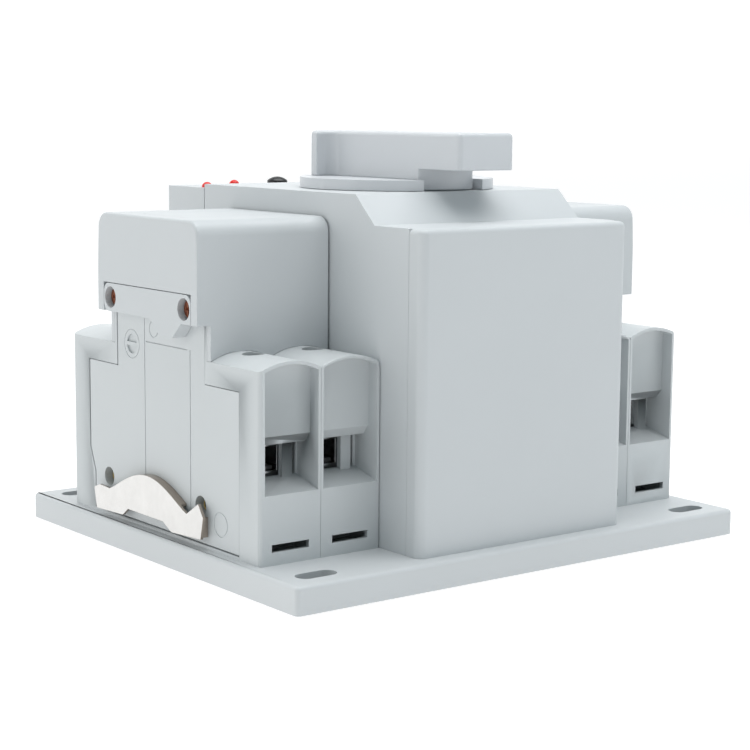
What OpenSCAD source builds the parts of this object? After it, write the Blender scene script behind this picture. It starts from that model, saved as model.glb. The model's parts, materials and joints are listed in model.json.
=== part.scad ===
// Manual transfer switch. Two two-pole breakers stand on a base plate, one on each side of
// a drive housing. A three-position knob on the housing turns a pinion, the pinion slides a
// yoke, and the yoke swings the toggles of both breakers at once.
// X runs along the row of breakers, Y from terminal to terminal, Z up from the plate's underside.

/* [Base plate] */
// Thickness of the base plate
base_t = 6.8; // [5:0.1:9]
// Border of the plate outside each breaker, along X
base_side = 3.3; // [2:0.1:10]
// Length of the plate along Y
base_d = 128; // [122:0.5:150]
// Radius of the plate's corners
base_corner_r = 1.2; // [1:0.1:6]
// Wall of the hollow underside
base_wall = 2.2; // [1.5:0.1:3.5]
// Width of a mounting slot
slot_w = 5.0; // [3.5:0.1:6]
// Length of a mounting slot, end to end
slot_len = 11.0; // [8:0.1:14]
// Distance from the plate's side to the middle of a slot, along X
slot_in_x = 10.6; // [8:0.1:14]
// Distance from the plate's end to the middle of a slot, along Y
slot_in_y = 7.5; // [5:0.1:9]

/* [Breakers] */
// Width of one pole
pole_w = 17.5; // [16:0.1:22]
// Length of a breaker from terminal face to terminal face
pole_len = 90; // [84:0.5:110]
// Height of the shoulder above the base plate
shoulder_h = 46.2; // [44:0.2:60]
// Rise of the barrel-shaped top of each pole
hump_h = 2.1; // [1:0.1:3]
// Width of the nose
nose_w = 44.4; // [40:0.5:50]
// Height of the nose above the shoulder
nose_rise = 16.8; // [15:0.2:22]
// Shift of the breakers and the hoods along Y
breaker_y = 0.8; // [-2:0.1:2]
// Depth of the terminal recess behind the fins
recess_d = 3.5; // [2.5:0.1:5]
// Thickness of a fin beside a terminal
fin_t = 0.7; // [0.6:0.1:1.2]
// Thickness of the outermost fin of a breaker
outer_fin_t = 1.4; // [1.2:0.1:2]
// Wall of the pole casings
case_wall = 1.2; // [1:0.1:1.6]
// Thickness of a pole's side cover
cover_t = 1.4; // [1.2:0.1:2]
// Height of the sill under the wire opening
sill_h = 16.8; // [15:0.1:20]
// Height of the wire opening
window_h = 11.0; // [10:0.1:14]
// Radius of the hole over a terminal screw
screw_hole_r = 2.8; // [2.6:0.1:3.2]
// Distance from the terminal face to the terminal screw
screw_in = 15.7; // [14:0.1:18]
// Radius of the rivets through a breaker
rivet_r = 1.5; // [1:0.1:2]

/* [Hoods] */
// Wall of the hoods
hood_wall = 1.6; // [1.4:0.1:2.4]
// Height of a hood above the nose
hood_rise = 17.1; // [16:0.1:22]
// How far a hood's outer wall stands off the breaker
hood_out = 3.8; // [3:0.1:5]
// Height of the retainer strip
strip_h = 7.2; // [6.4:0.1:9]
// Radius of a hood's upper long edges
hood_edge_r = 3.9; // [3:0.1:6]
// Radius of the screws in the retainer strip
hood_screw_r = 1.3; // [1:0.1:1.6]

/* [Drive housing] */
// Half of the housing's width
house_hw = 33.6; // [32:0.1:40]
// Wall of the housing and its covers
house_wall = 2.2; // [1.6:0.1:2.8]
// Height of the housing's flat top above the breakers' noses
house_up = 23; // [22:0.5:37]
// Depth of the ledge under the flat top
ledge_drop = 7.2; // [4:0.2:10]
// Front of the flat top, in front of the housing's middle
top_front = 33.5; // [33:0.1:36]
// Length of the slope between the top and the ledge, along Y
slope_d = 7.7; // [5:0.1:9]
// Parting between the housing and the front cover, in front of the middle
front_part = 54.6; // [52:0.1:56]
// Depth of the front cover
front_cover_d = 5.1; // [4.5:0.1:8]
// Parting between the housing and the rear cover, behind the middle
rear_part = 35.2; // [34:0.1:40]
// Depth of the rear cover
rear_cover_d = 18.8; // [15:0.1:20]
// How far the rear cover's top lies under the housing's top
rear_drop = 1.0; // [0.5:0.1:1.5]
// Gap between the housing and the rear cover
part_gap = 0.3; // [0.2:0.05:0.6]

/* [Knob and drive] */
// Distance from the housing's middle to the knob's axis, towards the front
knob_in = 6.7; // [4:0.1:7]
// Radius of the knob's skirt
skirt_r = 25.6; // [24:0.1:26]
// Height of the knob's skirt
skirt_h = 2.7; // [2:0.1:4]
// Half of the handle's width
grip_hw = 9.1; // [7:0.1:11]
// Height of the handle above the skirt
grip_h = 12.0; // [9:0.1:16]
// Reach of the handle from the axis to its tip
grip_reach = 36.6; // [32:0.1:42]
// Radius of the drive shaft
shaft_r = 4.0; // [3:0.1:4.4]
// Running clearance around shafts, rods and pins
run_gap = 0.05; // [0.02:0.01:0.08]
// Module of the pinion and the rack
gear_m = 1.0; // [0.9:0.05:1.1]
// Teeth on the pinion
gear_teeth = 16; // [15:1:17]
// Distance from a toggle's pivot to its tie pin
tie_arm = 13.5; // [13:0.1:15]
// Radius of the tie pins
tie_r = 1.5; // [1.2:0.1:1.8]
// Room on each side of a tie pin in its fork
fork_gap = 0.35; // [0.3:0.05:0.5]

/* [Signals] */
// Radius of a signal lamp
led_r = 1.5; // [1:0.1:2]
// Radius of the push button
button_r = 2.9; // [2:0.1:4]
// Height of the push button above the top
button_up = 2.2; // [1.6:0.1:3]

/* [Hidden] */

$fn = 48;
eps = 0.01;
// Gap between parts that stand beside each other, and between parts that fit inside each other.
stand_gap = 0.2;
fit_gap = 0.1;
front_gap = 0.1;
hood_gap = 0.4;

// Places along X, measured from the middle of the housing.
breaker_in = house_hw + stand_gap;
breaker_w = 2 * pole_w;
breaker_out = breaker_in + breaker_w;
base_w = 2 * (breaker_out + base_side);

// A breaker in its own frame: x = 0 at its outer face, y = 0 at its middle, z = 0 at its foot.
half_len = pole_len / 2;
nose_hw = nose_w / 2;
nose_h = shoulder_h + nose_rise;
body_w = pole_w - fit_gap;
pole_mid = body_w / 2;
hump_r = (pow(body_w / 2, 2) + pow(hump_h, 2)) / (2 * hump_h);
panel_y = half_len - recess_d;
window_top = sill_h + window_h;
screw_y = half_len - screw_in;
cage_hw = 4.8;
cage_d = 9.0;
cage_z0 = sill_h + 2.2;
cage_h = 8.4;
cage_wall = 1.2;
clamp_r = 2.4;
sill_d = 9.0;
sill_rise = 2.5;
bevel_d = 2.0;
bevel_h = 2.3;
recess_rim = 0.8;
wire_hw = 2.8;
post_w = 3.0;
post_d = 1.2;

// Outline of a side cover: a low part between the terminals and a nose part above the step.
cover_y = half_len - 8.8;
cover_step = shoulder_h - 5.6;
cover_nose = nose_hw - 1.0;
cover_low = 0.8;
cover_slant = 2.6;
cover_slant_z1 = 17;
cover_slant_z0 = 10.5;
rivet_places = [[half_len - 19.0, 10.3], [-half_len + 25.9, 10.3]];
rivet_seat = 2.6;
rivet_well_r = rivet_r + 1;

// Toggles and moving contacts.
toggle_z = nose_h - 5.0;
hub_r = 4.4;
lever_w = 5.6;
lever_t = 5.0;
lever_up = tie_arm + 2.6;
pivot_r = 1.2;
arm_y = 3.0;
arm_z = 36.0;
arm_len = 12.0;
arm_t = 2.0;
contact_r = 1.8;
contact_t = 1.0;
arm_turn = 8;

// Hoods, in the breaker's frame.
hood_y = nose_hw + fit_gap + hood_wall;
hood_top = nose_h + hood_rise;
hood_low = nose_h - 8.0;
strip_y = nose_hw - 1.3;
strip_top = hood_low + strip_h;
strip_screw_y = strip_y - 3.2;
strip_screw_z = hood_low + strip_h / 2;

// Housing.
house_h = nose_h + house_up;
ledge_h = house_h - ledge_drop;
top_z = base_t + house_h;
ledge_z = base_t + ledge_h;
slope_y = -top_front - slope_d;
front_y = -front_part;
knob_y = -knob_in;

// Mechanism, stacked from the mechanism plate up to the tie pins.
tie_z = base_t + toggle_z + tie_arm;
yoke_t = 3.0;
yoke_z = tie_z - 2.8;
plate_t = 1.5;
plate_z = yoke_z - 4.5;
pitch_r = gear_m * gear_teeth / 2;
gear_z = yoke_z + yoke_t + 0.5;
gear_w = 4.0;
knob_turn = 45;
yoke_travel = pitch_r * knob_turn * PI / 180;
yoke_hd = 5.0;
yoke_web = 9.0;
rod_x = 24;
rod_r = 2.0;
rod_z = yoke_z + 1.5;
sleeve_r = 3.4;
sleeve_len = 16;
block_t = 4;
rod_half = sleeve_len / 2 + yoke_travel + 1.5 + block_t;
fork_w = 2.4;
fork_up = 5.6;
fork_x = breaker_in + hood_wall + 1.2;
pass_y = yoke_hd + yoke_travel + 0.8;
pass_z0 = yoke_z - 0.8;
pass_z1 = yoke_z + yoke_t + 0.8;

// Knob.
skirt_z = top_z + 0.15;
grip_z = skirt_z + skirt_h;
overhang_z = grip_z + 2.7;
tongue_r = skirt_r - 3.1;
head_r = skirt_r - 2.1;
head_hw = 14.8;
head_y = 15.8;

// Signals.
rear_top = top_z - rear_drop;
lamp_places = [[-house_hw + 2.2, rear_part + part_gap + 1.9], [-16.3, rear_part + 11.8]];
button_x = -1.5;
button_y = rear_part + 11.8;
button_travel = 0.9;
board_z = rear_top - 8.8;
board_t = 1.6;

// ---- helpers ----

module span(a, b) translate(a) cube(b - a);

// A flat shape in (y, z), extruded along X from x0 to x1.
module along_x(x0, x1) translate([x0, 0, 0]) rotate([90, 0, 90]) linear_extrude(x1 - x0) children();

// A flat shape in (x, z), extruded along Y from y0 to y1.
module along_y(y0, y1) translate([0, y1, 0]) rotate([90, 0, 0]) linear_extrude(y1 - y0) children();

module rod_along_x(x0, x1, r) translate([x0, 0, 0]) rotate([0, 90, 0]) cylinder(r = r, h = x1 - x0);

module rod_along_y(y0, y1, r) translate([0, y1, 0]) rotate([90, 0, 0]) cylinder(r = r, h = y1 - y0);

module rounded(w, d, r) {
    square([w - 2 * r, d], center = true);
    square([w, d - 2 * r], center = true);
    for (sx = [-1, 1], sy = [-1, 1]) translate([sx * (w / 2 - r), sy * (d / 2 - r)]) circle(r);
}

module stadium(len, w) {
    square([len - w, w], center = true);
    for (s = [-1, 1]) translate([s * (len - w) / 2, 0]) circle(w / 2);
}

module at_left() translate([-breaker_out, breaker_y, base_t]) children();

// The right breaker is the same part turned half a turn, so that its toggles work the other way.
module at_right() translate([breaker_out, breaker_y, base_t]) rotate([0, 0, 180]) children();

module at_both() {
    at_left() children();
    at_right() children();
}

module each_pole() for (k = [0, 1]) translate([k * pole_w, 0, 0]) children();

module both_ends() for (s = [0, 180]) translate([pole_mid, 0, 0]) rotate([0, 0, s])
    translate([-pole_mid, 0, 0]) children();

// ---- base plate ----

module base_plate() {
    post_r = 4.2;
    color("whitesmoke") difference() {
        linear_extrude(base_t) rounded(base_w, base_d, base_corner_r);
        difference() {
            translate([0, 0, -eps]) linear_extrude(base_t - base_wall)
                square([base_w - 2 * base_wall, base_d - 2 * base_wall], center = true);
            slots_at() translate([0, 0, -1]) linear_extrude(base_t + 2)
                stadium(slot_len + 2 * base_wall, slot_w + 2 * base_wall);
            for (p = base_screw_places()) translate([p[0], p[1], 0]) cylinder(r = post_r, h = base_t);
            for (s = [-1, 1]) {
                translate([s * breaker_in, 0, base_t / 2])
                    cube([base_wall, base_d, base_t], center = true);
                translate([0, s * base_d / 6, base_t / 2])
                    cube([base_w, base_wall, base_t], center = true);
            }
        }
        slots_at() translate([0, 0, -1]) linear_extrude(base_t + 2) stadium(slot_len, slot_w);
        for (p = base_screw_places()) translate([p[0], p[1], 0]) {
            translate([0, 0, -1]) cylinder(r = base_screw_r + fit_gap, h = base_t + 2);
            translate([0, 0, -1]) cylinder(r = base_head_r + stand_gap, h = base_head_h + 1.2);
        }
    }
}

module slots_at() for (sx = [-1, 1], sy = [-1, 1])
    translate([sx * (base_w / 2 - slot_in_x), sy * (base_d / 2 - slot_in_y), 0]) children();

base_screw_r = 1.4;
base_head_r = 2.6;
base_head_h = 1.8;
base_screw_up = 14;
boss_r = 3.2;

function base_screw_places() = [for (sx = [-1, 1], y = [-front_part + 8, rear_part - 8])
    [sx * (house_hw - house_wall - boss_r + 0.6), y]];

module base_screws() {
    color("silver") for (p = base_screw_places()) translate([p[0], p[1], 0.2]) difference() {
        union() {
            cylinder(r = base_head_r, h = base_head_h);
            cylinder(r = base_screw_r, h = base_t + base_screw_up);
        }
        translate([-2, -0.35, -eps]) cube([4, 0.7, 0.8]);
        translate([-0.35, -2, -eps]) cube([0.7, 4, 0.8]);
    }
}

// ---- pole casings ----

module hump_top(drop) {
    intersection() {
        translate([pole_mid, shoulder_h + hump_h - hump_r]) circle(hump_r - drop, $fn = 96);
        translate([0, shoulder_h - 8]) square([body_w, 8 + hump_h]);
    }
}

module pole_block() {
    along_y(-half_len, half_len) {
        square([body_w, shoulder_h]);
        hump_top(0);
    }
    span([0, -nose_hw, 0], [body_w, nose_hw, nose_h]);
}

// The terminal recess between the fins, arched like the top over it.
module recess(x0, x1) along_y(-half_len - 1, -panel_y) intersection() {
    translate([pole_mid, shoulder_h + hump_h - hump_r]) circle(hump_r - recess_rim, $fn = 96);
    translate([x0, sill_h + sill_rise]) square([x1 - x0, shoulder_h]);
}

// The cover's outline, drawn e smaller on every side.
module cover_outline(e) polygon([
    [-cover_y + e, cover_low + e], [cover_y - cover_slant - e, cover_low + e],
    [cover_y - cover_slant - e, cover_slant_z0], [cover_y - e, cover_slant_z1],
    [cover_y - e, cover_step - e], [cover_nose - e, cover_step - e],
    [cover_nose - e, nose_h - case_wall - e], [-cover_nose + e, nose_h - case_wall - e],
    [-cover_nose + e, cover_step - e], [-cover_y + e, cover_step - e]]);

// The outer pole's outermost fin is the thicker one: x0 and x1 are the insides of the fins.
module terminal_chamber(x0, x1) {
    chamber_y = panel_y - bevel_d;
    side = outer_fin_t;
    recess(x0, x1);
    // room for the cage and its screw, open to the middle of the pole
    span([side, -chamber_y, sill_h + sill_rise],
         [body_w - side, -screw_y + cage_d / 2 + 1, shoulder_h - 2.4]);
    // wire opening, with a sloping sill
    along_x(x0, x1) polygon([
        [-half_len - 1, sill_h], [-half_len, sill_h], [-half_len + sill_d, sill_h + sill_rise],
        [-half_len + sill_d, window_top], [-chamber_y, window_top], [-panel_y, window_top + bevel_h],
        [-half_len - 1, window_top + bevel_h]]);
    // hollow foot and its slot
    span([case_wall, -half_len + case_wall, case_wall],
         [body_w - case_wall, -cover_y + 1.5, sill_h - 1.6]);
    span([pole_mid - 5.35, -half_len - 1, 3.1], [pole_mid + 5.35, -half_len + 2, 5.0]);
    // hole over the clamp screw
    translate([pole_mid, -screw_y, shoulder_h - 4]) cylinder(r = screw_hole_r, h = 8);
}

module cage_posts() {
    for (x = [pole_mid - wire_hw - post_w, pole_mid + wire_hw])
        span([x, -half_len + sill_d - post_d, sill_h - 0.5],
             [x + post_w, -half_len + sill_d + 0.3, shoulder_h - 2]);
}

module pole_case(side_fin) {
    union() {
        difference() {
            pole_block();
            along_x(-1, cover_t) cover_outline(0);
            along_x(0, body_w - case_wall) cover_outline(1.0);
            terminal_chamber(side_fin, body_w - fin_t);
            translate([body_w, 0, 0]) rotate([0, 0, 180]) terminal_chamber(fin_t, body_w - side_fin);
            // toggle slot
            span([pole_mid - lever_w / 2 - 0.6, -12, nose_h - 6],
                 [pole_mid + lever_w / 2 + 0.6, 12, nose_h + 1]);
            cross_holes();
        }
        both_ends() cage_posts();
    }
}

module cross_holes() {
    for (p = rivet_places) translate([0, p[0], p[1]]) rod_along_x(-1, pole_w + 1, rivet_r + fit_gap);
    translate([0, 0, toggle_z]) rod_along_x(-1, pole_w + 1, pivot_r + fit_gap);
    translate([0, arm_y, arm_z]) rod_along_x(-1, pole_w + 1, pivot_r + fit_gap);
}

module side_cover(outer) {
    // the cover stands a little off centre in its recess
    edge = 0.3;
    off_y = -0.22;
    off_z = 0.12;
    difference() {
        union() {
            along_x(0, cover_t - 0.05) translate([off_y, off_z]) cover_outline(edge);
            if (outer) for (p = rivet_places) translate([0, p[0], p[1]])
                rod_along_x(cover_t - 0.1, rivet_seat + cover_t, rivet_well_r + 0.9);
        }
        for (p = rivet_places) translate([0, p[0], p[1]])
            rod_along_x(-1, rivet_seat + cover_t + 1, rivet_r + fit_gap);
        if (outer) {
            for (p = rivet_places) translate([0, p[0], p[1]]) rod_along_x(-1, rivet_seat, rivet_well_r);
            for (s = [-1, 1]) translate([0, s * strip_screw_y, strip_screw_z])
                rod_along_x(-1, cover_t + 1, hood_screw_r + fit_gap);
        } else {
            translate([0, 0, toggle_z]) rod_along_x(-1, cover_t + 1, pivot_r + fit_gap);
            translate([0, arm_y, arm_z]) rod_along_x(-1, cover_t + 1, pivot_r + fit_gap);
        }
    }
}

module outer_case_left() color("gainsboro") at_left() pole_case(outer_fin_t);
module outer_case_right() color("gainsboro") at_right() pole_case(outer_fin_t);
module inner_case_left() color("lightgray") at_left() translate([pole_w, 0, 0]) pole_case(fin_t);
module inner_case_right() color("lightgray") at_right() translate([pole_w, 0, 0]) pole_case(fin_t);

module outer_cover_left() color("whitesmoke") at_left() side_cover(true);
module outer_cover_right() color("whitesmoke") at_right() side_cover(true);
module inner_cover_left() color("whitesmoke") at_left() translate([pole_w, 0, 0]) side_cover(false);
module inner_cover_right() color("whitesmoke") at_right() translate([pole_w, 0, 0]) side_cover(false);

// Tubular rivets. Each is flared against the floor of a well in the outer cover.
module breaker_rivets() {
    color("goldenrod") at_both() for (p = rivet_places) translate([0, p[0], p[1]]) difference() {
        union() {
            rod_along_x(rivet_seat - 0.9, breaker_w - fit_gap, rivet_r);
            rod_along_x(rivet_seat - 0.5, rivet_seat - 0.02, rivet_r + 0.5);
        }
        rod_along_x(0, breaker_w, rivet_r - 0.5);
    }
}

// ---- side brackets ----

bracket_t = 0.8;
bracket_off = 1.7;
bracket_z0 = 1.7;
hump_y0 = -16.4;
hump_y1 = 21.7;
hump_low = 8.1;
hump_high = 14.5;
hump_steps = 20;

// Height of the bracket's curved top edge at y.
function bracket_top(y) =
    let (u = (y - hump_y0) / (hump_y1 - hump_y0)) hump_low + (hump_high - hump_low) * pow(max(sin(180 * u), 0), 1.15);

function hump_at(k) = hump_y1 + (hump_y0 - hump_y1) * k / hump_steps;

module bracket_outline() polygon(concat(
    [[hump_y1 + 8.1, hump_low - 0.9], [hump_y1 + 5.2, hump_low + 0.2]],
    [for (k = [0 : hump_steps]) [hump_at(k), bracket_top(hump_at(k))]],
    [[hump_y0 - 5.4, hump_low + 3.4], [hump_y0 - 7.6, hump_low + 0.3], [hump_y0 - 6.4, bracket_z0 + 1.1],
     [hump_y0 + 7.2, bracket_z0 + 0.4], [hump_y0 + 11.2, bracket_z0 + 2.4],
     [hump_y1 - 9.5, bracket_z0 + 2.5], [hump_y1 - 6.8, bracket_z0 + 0.5], [hump_y1 + 6.9, bracket_z0]]));

// A face plate held off the breaker by a flange along its hump and one at its end.
module side_bracket() {
    end_y = hump_y0 - 6.1;
    along_x(-bracket_off - bracket_t, -bracket_off) bracket_outline();
    along_x(-bracket_off - eps, -0.05) polygon(concat(
        [for (k = [2 : hump_steps - 2]) [hump_at(k), bracket_top(hump_at(k))]],
        [for (k = [hump_steps - 2 : -1 : 2]) [hump_at(k), bracket_top(hump_at(k)) - bracket_t]]));
    span([-bracket_off - eps, end_y, bracket_z0 + 1.4], [-0.05, end_y + bracket_t, hump_low]);
}

module side_bracket_left() color("silver") at_left() side_bracket();
module side_bracket_right() color("silver") at_right() side_bracket();

// ---- parts inside the breakers ----

module terminal_cages() {
    color("silver") at_both() each_pole() both_ends() translate([pole_mid, -screw_y, cage_z0]) difference() {
        span([-cage_hw, -cage_d / 2, 0], [cage_hw, cage_d / 2, cage_h]);
        span([-cage_hw + cage_wall, -cage_d, cage_wall], [cage_hw - cage_wall, cage_d, cage_h - cage_wall]);
        cylinder(r = clamp_r + fit_gap, h = cage_h + 1);
    }
}

module terminal_screws() {
    head_z = shoulder_h - 8.4;
    color("gold") at_both() each_pole() both_ends() translate([pole_mid, -screw_y, 0]) difference() {
        union() {
            translate([0, 0, cage_z0 + cage_h - cage_wall]) cylinder(r = clamp_r, h = head_z - cage_z0 - cage_h + 2);
            translate([0, 0, head_z]) cylinder(r = clamp_r + 0.7, h = 2.2);
        }
        translate([-4, -0.4, head_z + 1.2]) cube([8, 0.8, 2]);
    }
}

strap_w = 6;
strap_t = 1.0;
strap_z = cage_z0 + cage_wall + 0.1;
fixed_y = arm_y - arm_t / 2 - contact_t - (arm_len + contact_r) * sin(arm_turn) - 0.35;

module line_contacts() {
    color("darkorange") at_both() each_pole() {
        span([pole_mid - strap_w / 2, -screw_y - cage_d / 2 + 1, strap_z],
             [pole_mid + strap_w / 2, fixed_y - contact_t - strap_t + eps, strap_z + strap_t]);
        span([pole_mid - strap_w / 2, fixed_y - contact_t - strap_t, strap_z],
             [pole_mid + strap_w / 2, fixed_y - contact_t, arm_z - arm_len + contact_r + 0.6]);
        translate([pole_mid, 0, arm_z - arm_len]) rod_along_y(fixed_y - contact_t - eps, fixed_y, contact_r);
    }
}

module load_straps() {
    color("darkorange") at_both() each_pole() {
        span([pole_mid - strap_w / 2, bimetal_y + 1.1, strap_z],
             [pole_mid + strap_w / 2, screw_y + cage_d / 2 - 1, strap_z + strap_t]);
        span([pole_mid - strap_w / 2, bimetal_y + 1.1, bimetal_z0],
             [pole_mid + strap_w / 2, bimetal_y + 1.1 + strap_t, strap_z + strap_t]);
    }
}

coil_y0 = 7.5;
coil_len = 9.0;
coil_r = 4.4;
coil_z = 27;
core_r = 1.8;
bimetal_y = 19.0;
bimetal_z0 = 8.0;

module trip_coils() {
    turns = 6;
    wire = coil_len / turns;
    color("peru") at_both() each_pole() translate([pole_mid, coil_y0, coil_z]) rotate([-90, 0, 0])
        difference() {
            union() {
                cylinder(r = coil_r - 0.5, h = coil_len);
                for (k = [0 : turns - 1]) translate([0, 0, (k + 0.15) * wire])
                    cylinder(r = coil_r, h = 0.7 * wire);
            }
            translate([0, 0, -1]) cylinder(r = core_r + fit_gap, h = coil_len + 2);
        }
}

module coil_cores() {
    color("dimgray") at_both() each_pole() translate([pole_mid, 0, coil_z])
        rod_along_y(coil_y0 - 1.2, coil_y0 + coil_len + 0.6, core_r);
}

module bimetals() {
    color("darkkhaki") at_both() each_pole()
        span([pole_mid - 2.5, bimetal_y, bimetal_z0], [pole_mid + 2.5, bimetal_y + 1.0, bimetal_z0 + 24]);
}

module arc_chutes() {
    plates = 6;
    pitch = 2.1;
    color("slategray") at_both() each_pole() for (k = [0 : plates - 1])
        span([pole_mid - 5.5, rivet_places[1][0] + rivet_r + 2.4, 2.6 + k * pitch],
             [pole_mid + 5.5, 2.5, 3.4 + k * pitch]);
}

module toggle_pivots() {
    color("silver") at_both() translate([0, 0, toggle_z])
        rod_along_x(cover_t + 0.2, breaker_w - fit_gap - 0.2, pivot_r);
}

module arm_pivots() {
    color("silver") at_both() translate([0, arm_y, arm_z])
        rod_along_x(cover_t + 0.2, breaker_w - fit_gap - 0.2, pivot_r);
}

// ---- toggles, tie pins and contact arms ----

module toggle() {
    difference() {
        union() {
            rod_along_x(-lever_w / 2, lever_w / 2, hub_r);
            span([-lever_w / 2, -lever_t / 2, 0], [lever_w / 2, lever_t / 2, lever_up - lever_t / 2]);
            translate([0, 0, lever_up - lever_t / 2]) rod_along_x(-lever_w / 2, lever_w / 2, lever_t / 2);
        }
        rod_along_x(-lever_w, lever_w, pivot_r + run_gap);
        translate([0, 0, tie_arm]) rod_along_x(-lever_w, lever_w, tie_r + 0.02);
    }
}

module toggles() each_pole() translate([pole_mid, 0, toggle_z]) toggle();

module toggles_left() color("dimgray") at_left() toggles();
module toggles_right() color("dimgray") at_right() toggles();

// A tie pin joins the two toggles of a breaker and sticks out into the yoke's fork.
module tie_pin() translate([0, 0, toggle_z + tie_arm])
    rod_along_x(pole_mid - lever_w / 2 - 1, breaker_out - fork_x + 0.5, tie_r);

module tie_pin_left() color("silver") at_left() tie_pin();
module tie_pin_right() color("silver") at_right() tie_pin();

module contact_arm() {
    arm_w = 4;
    difference() {
        union() {
            rod_along_x(-arm_w / 2, arm_w / 2, 2.6);
            span([-arm_w / 2, -arm_t / 2, -arm_len - contact_r], [arm_w / 2, arm_t / 2, 0]);
            translate([0, 0, -arm_len]) rod_along_y(-arm_t / 2 - contact_t, 0, contact_r);
        }
        rod_along_x(-arm_w, arm_w, pivot_r + run_gap);
    }
}

module contact_arms() each_pole() translate([pole_mid, arm_y, arm_z]) contact_arm();

module contact_arms_left() color("peru") at_left() contact_arms();
module contact_arms_right() color("peru") at_right() contact_arms();

// ---- hoods ----

module hood_section(in) {
    r = hood_edge_r - in;
    y = hood_y - in;
    z = hood_top - in;
    translate([-y, 0]) square([2 * y, z - r]);
    translate([-y + r, 0]) square([2 * (y - r), z]);
    for (s = [-1, 1]) translate([s * (y - r), z - r]) circle(r);
}

module hood() {
    x1 = breaker_w - hood_gap;
    difference() {
        union() {
            intersection() {
                along_x(-hood_out, x1) hood_section(0);
                span([-hood_out, -hood_y, hood_low], [x1, hood_y, hood_top]);
            }
            for (s = [-1, 1]) span([0, s * (hood_y - hood_wall / 2) - hood_wall / 2, shoulder_h + 0.1],
                                   [x1, s * (hood_y - hood_wall / 2) + hood_wall / 2, hood_low + 1]);
        }
        along_x(-hood_out + hood_wall, x1 - hood_wall) hood_section(hood_wall);
        // the nose
        span([-fit_gap, -nose_hw - fit_gap, 0], [x1 + 1, nose_hw + fit_gap, nose_h + fit_gap]);
        // cut-out for the retainer strip
        span([-hood_out - 1, -strip_y - stand_gap, hood_low - 1], [fit_gap, strip_y + stand_gap, strip_top + stand_gap]);
        // clearance over the barrel tops
        each_pole() along_y(-hood_y - 1, hood_y + 1) {
            hump_top(-0.1);
            square([pole_w, shoulder_h + 0.1]);
        }
        // passage for the yoke
        span([x1 - hood_wall - 1, -pass_y, pass_z0 - base_t], [x1 + 1, pass_y, pass_z1 - base_t]);
    }
}

module hood_left() color("white") at_left() hood();
module hood_right() color("white") at_right() hood();

module retainer_strip() {
    corner = 2.2;
    bump_z = hood_low - 3.8;
    difference() {
        along_x(-hood_out, -0.05) {
            translate([-strip_y, hood_low]) square([2 * strip_y - corner, strip_h - corner]);
            translate([-strip_y + corner, hood_low]) square([2 * (strip_y - corner), strip_h]);
            translate([-strip_y, hood_low + corner]) square([2 * strip_y, strip_h - 2 * corner]);
            for (p = [[1, hood_low + corner], [1, strip_top - corner], [-1, strip_top - corner]])
                translate([p[0] * (strip_y - corner), p[1]]) circle(corner);
            polygon([[-16.6, hood_low + eps], [-12.5, bump_z], [-6.1, bump_z], [-1.8, hood_low + eps]]);
        }
        for (s = [-1, 1]) translate([0, s * strip_screw_y, strip_screw_z]) {
            rod_along_x(-hood_out - 1, 1, hood_screw_r + fit_gap);
            rod_along_x(-hood_out - 1, -hood_out + 2.6, 2.1 * hood_screw_r);
        }
    }
}

module retainer_strip_left() color("white") at_left() retainer_strip();
module retainer_strip_right() color("white") at_right() retainer_strip();

module hood_screws() {
    head = -hood_out + 1.5;
    color("chocolate") at_both() for (s = [-1, 1])
        translate([0, s * strip_screw_y, strip_screw_z]) difference() {
            union() {
                rod_along_x(head, cover_t - 0.2, hood_screw_r);
                rod_along_x(head, head + 1.05, 2 * hood_screw_r - 0.35);
            }
            span([head - 1, -0.3, -1.5], [head + 0.5, 0.3, 1.5]);
            span([head - 1, -1.5, -0.3], [head + 0.5, 1.5, 0.3]);
        }
}

// ---- drive housing and its covers ----

module house_section(in, y0, y1) polygon([
    [y0, base_t - (in > 0 ? 1 : 0)], [y0, ledge_z - in],
    [slope_y + in * tan(22), ledge_z - in], [-top_front + in * tan(22), top_z - in],
    [y1, top_z - in], [y1, base_t - (in > 0 ? 1 : 0)]]);

module lamp_holes() {
    for (p = lamp_places) translate([p[0], p[1], board_z + board_t]) cylinder(r = led_r + fit_gap, h = 20);
    translate([button_x, button_y, board_z + board_t]) cylinder(r = button_r + fit_gap, h = 20);
}

module drive_housing() {
    inner = house_hw - house_wall;
    shelf_z = plate_z - 2.4;
    color("gainsboro") difference() {
        union() {
            difference() {
                along_x(-house_hw, house_hw) house_section(0, front_y, rear_part);
                along_x(-inner, inner) house_section(house_wall, front_y - 1, rear_part + 1);
            }
            for (s = [-1, 1]) span([s > 0 ? inner - 4 : -inner - eps, -26, shelf_z],
                                   [s > 0 ? inner + eps : -inner + 4, 26, plate_z]);
            for (p = base_screw_places()) translate([p[0], p[1], base_t])
                cylinder(r = boss_r, h = base_screw_up + 4);
        }
        for (p = base_screw_places()) translate([p[0], p[1], base_t - 1])
            cylinder(r = base_screw_r + 0.02, h = base_screw_up + 2);
        for (p = plate_screw_places()) translate([p[0], p[1], shelf_z - 1])
            cylinder(r = plate_screw_r + 0.02, h = 6);
        for (s = [-1, 1]) span([s > 0 ? inner - 1 : -house_hw - 1, breaker_y - pass_y, pass_z0],
                               [s > 0 ? house_hw + 1 : -inner + 1, breaker_y + pass_y, pass_z1]);
        translate([0, knob_y, top_z - 10]) cylinder(r = bush_r + 0.02, h = 20);
    }
}

cover_lip = 3;
lip_t = 1.2;

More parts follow.
